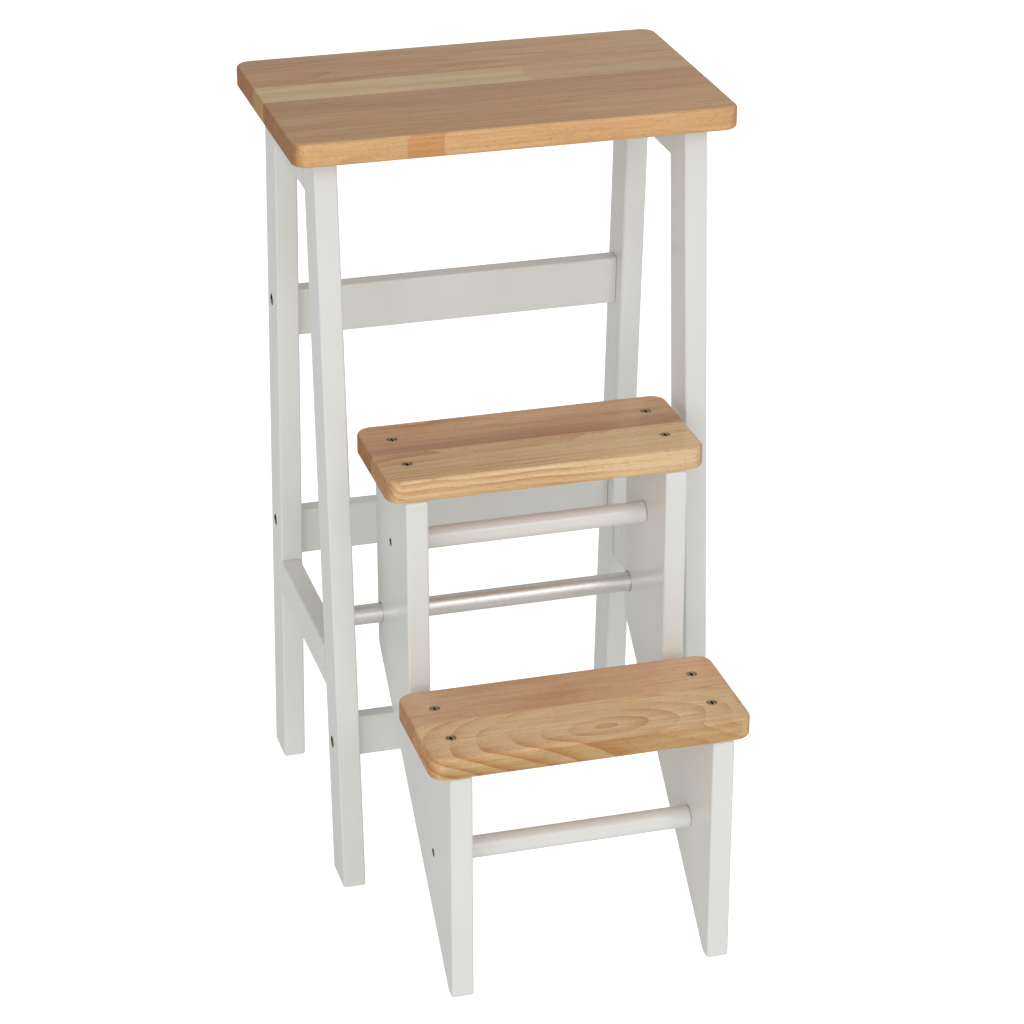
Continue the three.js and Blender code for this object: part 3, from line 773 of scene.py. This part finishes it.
def make_figure_group():
    """The figure of sawn and lacquered wood at a point, from where the heart of its log lay.

    Growth rings are circles about the heart, r = sqrt(dy^2 + (dz + slope x)^2). The heart
    gives the slope of the log, and then its y and z at x = 0. Slow noise pushes the rings in
    and out. Each ring darkens outwards, as a power of the share of its width, and ends
    sharply. Bands, streaks, fibres and pores are noises that are drawn out along the grain,
    which runs along X and sways a little. Each darkens the stave's colour by its own tint.
    Fibres stand up from the lacquer and pores sink into it. Where the Normal looks along X,
    the wood is end grain, which is darker and dull.
    """
    sway = 0.007
    sway_waves = (9, 24, 24)
    from_log_to_log = 5.0
    push_waves = (15, 32, 32)
    ring_fray = 0.0005
    fray_waves = (60, 420, 420)
    ring_rise = 2.2
    fading_waves = (7, 26, 26)
    fading_edges = (0.40, 0.62)
    faintest_ring = 0.12
    drawn_out = {
        "bands": {"waves": (4, 70, 70), "detail": 2.0, "least": 0.36, "most": 0.64},
        "streaks": {"waves": (9, 400, 400), "detail": 2.0, "least": 0.34, "most": 0.66},
        "fibres": {"waves": (34, 1200, 1200), "detail": 1.0, "least": 0.30, "most": 0.70},
        "pores": {"waves": (260, 1600, 1600), "detail": 0.0, "least": 0.60, "most": 0.72},
    }
    band_strength, streak_strength, fibre_strength, pore_strength = 0.8, 0.75, 0.45, 0.30
    inputs = {"Point": "Vector", "Normal": "Vector", "Pith": "Vector", "Ring Width": "Float",
              "Wander": "Float", "Ring Strength": "Float", "Stave Colour": "Color"}
    outputs = {"Colour": "Color", "Roughness": "Float", "Height": "Float"}
    group, given, give = new_group("wood_figure", inputs, outputs)
    point = given["Point"]
    apart = node(group, "VectorMath", {0: given["Pith"], "Scale": from_log_to_log},
                 operation="SCALE")
    still = node(group, "VectorMath", {0: point, 1: apart.outputs[0]}, operation="ADD").outputs[0]
    drift = maths(group, "MULTIPLY_ADD", noise(group, still, sway_waves, 1.0), sway, -sway / 2)
    aside = node(group, "CombineXYZ", {"Y": drift, "Z": drift})
    own = node(group, "VectorMath", {0: still, 1: aside.outputs[0]}, operation="ADD").outputs[0]

    away = node(group, "VectorMath", {0: point, 1: given["Pith"]}, operation="SUBTRACT")
    axes = node(group, "SeparateXYZ", {0: away.outputs[0]})
    along = node(group, "SeparateXYZ", {0: point}).outputs["X"]
    slope = node(group, "SeparateXYZ", {0: given["Pith"]}).outputs["X"]
    across = maths(group, "MULTIPLY", axes.outputs["Y"], axes.outputs["Y"])
    depth = maths(group, "MULTIPLY_ADD", along, slope, axes.outputs["Z"])
    radius = maths(group, "SQRT", maths(group, "MULTIPLY_ADD", depth, depth, across))
    pushed = maths(group, "MULTIPLY_ADD", noise(group, own, push_waves, 1.0), given["Wander"], radius)
    frayed = maths(group, "MULTIPLY_ADD", noise(group, own, fray_waves), ring_fray, pushed)
    share = maths(group, "FRACT", maths(group, "DIVIDE", frayed, given["Ring Width"]))
    rise = maths(group, "POWER", share, ring_rise)
    fading = stretched(group, noise(group, own, fading_waves, 1.0), *fading_edges, faintest_ring)
    masks = {"rings": maths(group, "MULTIPLY", rise, fading)}
    for part, look in drawn_out.items():
        drawn = noise(group, own, look["waves"], look["detail"])
        masks[part] = stretched(group, drawn, look["least"], look["most"])

    tone = given["Stave Colour"]
    for part, strength, tint in (("bands", band_strength, band_tint),
                                 ("rings", given["Ring Strength"], ring_tint),
                                 ("streaks", streak_strength, streak_tint),
                                 ("fibres", fibre_strength, streak_tint),
                                 ("pores", pore_strength, pore_tint)):
        tone = mixed(group, maths(group, "MULTIPLY", masks[part], strength), tone, tint, "MULTIPLY")
    sideways = maths(group, "ABSOLUTE", node(group, "SeparateXYZ", {0: given["Normal"]}).outputs["X"])
    at_end = stretched(group, sideways, end_grain_begins, end_grain_full)
    sealed = stretched(group, masks["streaks"], 0.0, 1.0, *lacquer_gloss)
    give("Colour", mixed(group, at_end, tone, end_grain_tint, "MULTIPLY"))
    give("Roughness", stretched(group, at_end, 0.0, 1.0, sealed, end_grain_gloss))
    give("Height", maths(group, "SUBTRACT", masks["fibres"], masks["pores"]))
    return group


stave_group = make_stave_group()
figure_group = make_figure_group()

umber = (0.620, 0.377, 0.209, 1.0)
deep_umber = (0.545, 0.325, 0.175, 1.0)
light_toffee = (0.680, 0.430, 0.232, 1.0)
deep_toffee = (0.585, 0.367, 0.188, 1.0)
dark_toffee = (0.560, 0.345, 0.185, 1.0)
fawn = (0.700, 0.475, 0.265, 1.0)
light_russet = (0.690, 0.465, 0.270, 1.0)
deep_russet = (0.595, 0.350, 0.182, 1.0)
sand = (0.680, 0.478, 0.282, 1.0)
straw = (0.735, 0.575, 0.330, 1.0)
pale_honey = (0.775, 0.515, 0.250, 1.0)
honey = (0.79, 0.500, 0.250, 1.0)
amber = (0.72, 0.400, 0.165, 1.0)
cream = (0.86, 0.650, 0.390, 1.0)
oat = (0.775, 0.545, 0.330, 1.0)
pale_oat = (0.87, 0.635, 0.375, 1.0)
dusky_brown = (0.58, 0.330, 0.195, 1.0)
chestnut = (0.68, 0.415, 0.245, 1.0)
peach = (0.79, 0.520, 0.315, 1.0)
pale_peach = (0.86, 0.565, 0.345, 1.0)
deep_peach = (0.72, 0.465, 0.275, 1.0)
gold = (0.62, 0.430, 0.210, 1.0)
pale_gold = (0.88, 0.635, 0.362, 1.0)


def stave_wood(name, board, staves, ring_width, wander, ring_strength):
    """Lacquered staves of a board. Each stave gives, from the front of the board: the share
    of the depth at which it starts, how wide the change there is in metres, the share of the
    length at which its joint lies, its colours at the left and at the right, where none
    carries on the colour in front, and the heart of its log: its slope along the board, and
    how far behind and above the middle of the top face it lies in metres. A stave without a
    joint changes slowly from its left colour to its right one."""
    low, high = corners_of(board)
    centre = (low + high) / 2
    material, tree, output = empty_material(name)
    surface_place = node(tree, "TexCoord").outputs
    colour = staves[0][3]
    pith = (0.0, 0.0, 0.0)
    for start, blur, joint, left, right, heart in staves:
        laid = node(tree, "Group", {
            "Point": surface_place["Object"],
            "Start": low.y - wood_rim + start * (high.y - low.y + wood_rim),
            "Blur": blur,
            "Joint": high.x if joint is None else low.x + joint * (high.x - low.x),
            "Left End": low.x,
            "Drift": 1 / (high.x - low.x) if joint is None else 0.0,
            "Left": left or colour,
            "Right": right or colour,
            "Pith": (heart[0], centre.y + heart[1], high.z + heart[2]),
            "Colour Before": colour,
            "Pith Before": pith,
        }, node_tree=stave_group).outputs
        colour, pith = laid["Colour"], laid["Pith"]
    figure = node(tree, "Group", {
        "Point": surface_place["Object"],
        "Normal": surface_place["Normal"],
        "Pith": pith,
        "Ring Width": ring_width,
        "Wander": wander,
        "Ring Strength": ring_strength,
        "Stave Colour": colour,
    }, node_tree=figure_group).outputs
    bump = node(tree, "Bump", {"Strength": relief_strength, "Distance": relief_depth,
                               "Height": figure["Height"]})
    surface = node(tree, "BsdfPrincipled", {"Base Color": figure["Colour"],
                                            "Roughness": figure["Roughness"],
                                            "Normal": bump.outputs[0],
                                            "Specular IOR Level": wood_shine})
    tree.links.new(surface.outputs[0], output.inputs["Surface"])
    return material


def stave_board(node_name, corner, material):
    """A rounded board that fills the box of the solid of its name."""
    low, high = corners_of(node_name)
    corners = [(low.x, low.y, corner), (high.x, low.y, corner),
               (high.x, high.y, corner), (low.x, high.y, corner)]
    return new_piece(f"{node_name}_board", board_form(corners, low.z, high.z, wood_rim), material)


seat_wood = stave_wood("seat_wood", "seat", [
    # Painted light: the first two rows, which end where the rim meets the top, give the front face a
    # lighter, yellower colour than the top, standing in for the stronger light on the front.
    (0.000, glue_line, 0.260, pale_honey, amber, (0.05, 0.05, -0.045)),
    (0.000, glue_line, 0.342, None, honey, (0.05, 0.05, -0.045)),
    (0.026, 0.002, None, deep_toffee, light_toffee, (0.04, 0.04, -0.080)),
    (0.165, glue_line, None, deep_toffee, light_toffee, (0.03, 0.09, -0.030)),
    (0.280, 0.010, None, deep_umber, umber, (0.03, 0.09, -0.030)),
    (0.496, glue_line, 0.622, straw, sand, (0.05, -0.07, -0.060)),
    (0.665, glue_line, None, deep_russet, light_russet, (0.05, 0.06, -0.040)),
    (0.835, glue_line, None, dark_toffee, fawn, (0.02, 0.11, -0.060)),
], ring_width=0.0050, wander=0.008, ring_strength=0.5)
seat = stave_board("seat", seat_corner, seat_wood)
hand_over(seat, "seat", "frame")

tread_woods = {
    "middle": stave_wood("middle_tread_wood", "middle_tread", [
        # Painted light: the first row, which ends where the rim meets the top, gives the front face a
        # lighter colour than the top, standing in for the stronger light on the front.
        (0.000, glue_line, None, cream, cream, (0.02, -0.005, -0.050)),
        (0.050, 0.002, None, oat, pale_oat, (0.02, -0.005, -0.050)),
        (0.485, 0.002, None, dusky_brown, dusky_brown, (0.01, 0.035, -0.250)),
        (0.590, 0.012, None, chestnut, chestnut, (0.01, 0.035, -0.250)),
        (0.710, 0.014, None, pale_peach, peach, (0.01, 0.035, -0.250)),
    ], ring_width=0.0036, wander=0.004, ring_strength=1.1),
    "lower": stave_wood("lower_tread_wood", "lower_tread", [
        # Painted light: the first row, which ends where the rim meets the top, gives the front face a
        # darker colour than the top, to offset the stronger light on the front.
        (0.000, glue_line, None, gold, gold, (0.44, -0.038, 0.007)),
        (0.026, 0.002, None, pale_gold, pale_gold, (0.44, -0.038, 0.007)),
        (0.530, glue_line, None, deep_peach, pale_peach, (0.01, 0.03, -0.250)),
    ], ring_width=0.0105, wander=0.012, ring_strength=1.25),
}
for level in ("middle", "lower"):
    tread = stave_board(f"{level}_tread", tread_corner, tread_woods[level])
    work(tread, [head_hole(f"{level}_tread_screw_{end}_{side}", "up", tread_screw,
                           tread_screw["head"], overrun)
                 for end in ("front", "rear") for side in ("left", "right")])
    hand_over(tread, f"{level}_tread", "step_unit")


# Side boards
# Two painted boards, sawn in one piece: a column under the middle tread, and a lower part
# that reaches forward under the lower tread. Their back edge slants to a narrow foot.

column_depth = 0.1045
foot_length = 0.012
knee_height = 0.206
board_corner = 0.004
foot_corner = 0.006
knee_corner = 0.012
rail_screw = {"head": 0.0033, "rim": 0.0005, "cone": 0.0022, "shank": 0.002, "tip": 0.006}
past_rail_screw = 0.004
tube_clearance = 0.0006
lower_ledge = corners_of("lower_tread")[0].z - clearance

for side in ("left", "right"):
    name = f"{side}_side_board"
    low, high = corners_of(name)
    column_front = high.y - column_depth
    outline = [(low.y, low.z, board_corner), (low.y + foot_length, low.z, foot_corner),
               (high.y, knee_height, knee_corner), (high.y, high.z, board_corner),
               (column_front, high.z, board_corner), (column_front, lower_ledge, board_corner),
               (low.y, lower_ledge, board_corner)]
    sawn = side_on(board_form(outline, low.x, high.x, painted_rim))
    side_board = new_piece(f"{name}_sawn", sawn, upright_paint)
    radius = tube_radius + tube_clearance
    points, faces = side_on(turned_form([(radius, low.x - overrun), (radius, high.x + overrun)]))
    holes = [(points + np.array([0.0, tube_middle.y, tube_middle.z]), faces)]
    holes += [head_hole(f"{level}_round_rail_screw_{side}", side, rail_screw,
                        rail_screw["head"], past_rail_screw)
              for level in ("upper", "lower")]
    holes += [head_hole(f"{level}_tread_screw_{end}_{side}", "up", tread_screw,
                        tread_screw["shank"], overrun)
              for level in ("middle", "lower") for end in ("front", "rear")]
    work(side_board, holes, bare=shaded_drilled_wood)
    hand_over(side_board, name, "step_unit")


# Round rails
# Two round wooden rods, painted white, that tie the side boards together under the treads.
# A wood screw through each side board holds either end.

dowel_ease = 0.0005
# Painted light: the dowels take a lighter and cooler copy of the white paint, to brighten rods that
# stand in the shade of the treads and to cancel the warm light the wood throws on them.
lit_dowel_paint = painted("paint_on_dowels", (grain_along, grain_across, grain_across),
                      colour=(0.85, 0.86, 0.845, 1.0), shade=(0.81, 0.82, 0.80, 1.0))

for level in ("upper", "lower"):
    name = f"{level}_round_rail"
    low, high = corners_of(name)
    radius = (high.z - low.z) / 2
    profile = [(radius - dowel_ease, low.x), (radius, low.x + dowel_ease),
               (radius, high.x - dowel_ease), (radius - dowel_ease, high.x)]
    points, faces = side_on(turned_form(profile))
    place = np.array([0.0, (low.y + high.y) / 2, (low.z + high.z) / 2])
    dowel = new_piece(f"{name}_dowel", (points + place, faces), lit_dowel_paint)
    hand_over(dowel, name, "step_unit")


# Pivot tube
# A thin-walled steel tube, drawn and plated to a satin shine. The side boards hold it, and
# its ends turn in the blind bores of the front legs.

tube_wall = 0.0015
tube_ease = 0.0003

tube_steel = plated("tube_steel", colour=(0.86, 0.855, 0.84, 1.0), stained=(0.80, 0.79, 0.77, 1.0),
                    edge_tint=white, roughness=0.44, scratches=(9, 800, 800), relief=0.03)
inner = tube_radius - tube_wall
eased = tube_radius - tube_ease
profile = [(inner, tube_low.x), (eased, tube_low.x), (tube_radius, tube_low.x + tube_ease),
           (tube_radius, tube_high.x - tube_ease), (eased, tube_high.x), (inner, tube_high.x)]
points, faces = side_on(turned_form(profile, through=True))
place = np.array([0.0, tube_middle.y, tube_middle.z])
tube = new_piece("pivot_tube_drawn", (points + place, faces), tube_steel)
hand_over(tube, "pivot_tube", "step_unit")


# Wood screws
# Zinc-plated steel screws with a flat countersunk head and a cross recess. Four hold each
# tread, one at each end holds a round rail, and four come up through the rails into the seat.

cross_half_length = 0.0026
cross_half_width = 0.0007
cross_depth = 0.0018
tiny = 1e-9

screw_zinc = plated("screw_zinc", colour=(0.66, 0.56, 0.42, 1.0), stained=(0.42, 0.33, 0.22, 1.0),
                    edge_tint=(0.7, 0.7, 0.65, 1.0), roughness=0.32, scratches=(900, 900, 900),
                    relief=0.15)


def cross_radius(angles):
    """How far a cross of two equal bars reaches from its middle at each angle."""
    cosine, sine = np.abs(np.cos(angles)) + tiny, np.abs(np.sin(angles)) + tiny
    lying = np.minimum(cross_half_length / cosine, cross_half_width / sine)
    standing = np.minimum(cross_half_width / cosine, cross_half_length / sine)
    return np.maximum(lying, standing)


for level in ("middle", "lower"):
    for end in ("front", "rear"):
        for side in ("left", "right"):
            place_screw(f"{level}_tread_screw_{end}_{side}", "up", tread_screw, cross_radius,
                        cross_depth, screw_zinc, "step_unit")
for level in ("upper", "lower"):
    for side in ("left", "right"):
        place_screw(f"{level}_round_rail_screw_{side}", side, rail_screw, cross_radius,
                    cross_depth, screw_zinc, "step_unit")
for end in ("front", "rear"):
    for side in ("left", "right"):
        place_screw(f"seat_screw_{end}_{side}", "down", seat_screw, cross_radius,
                    cross_depth, screw_zinc, "frame")
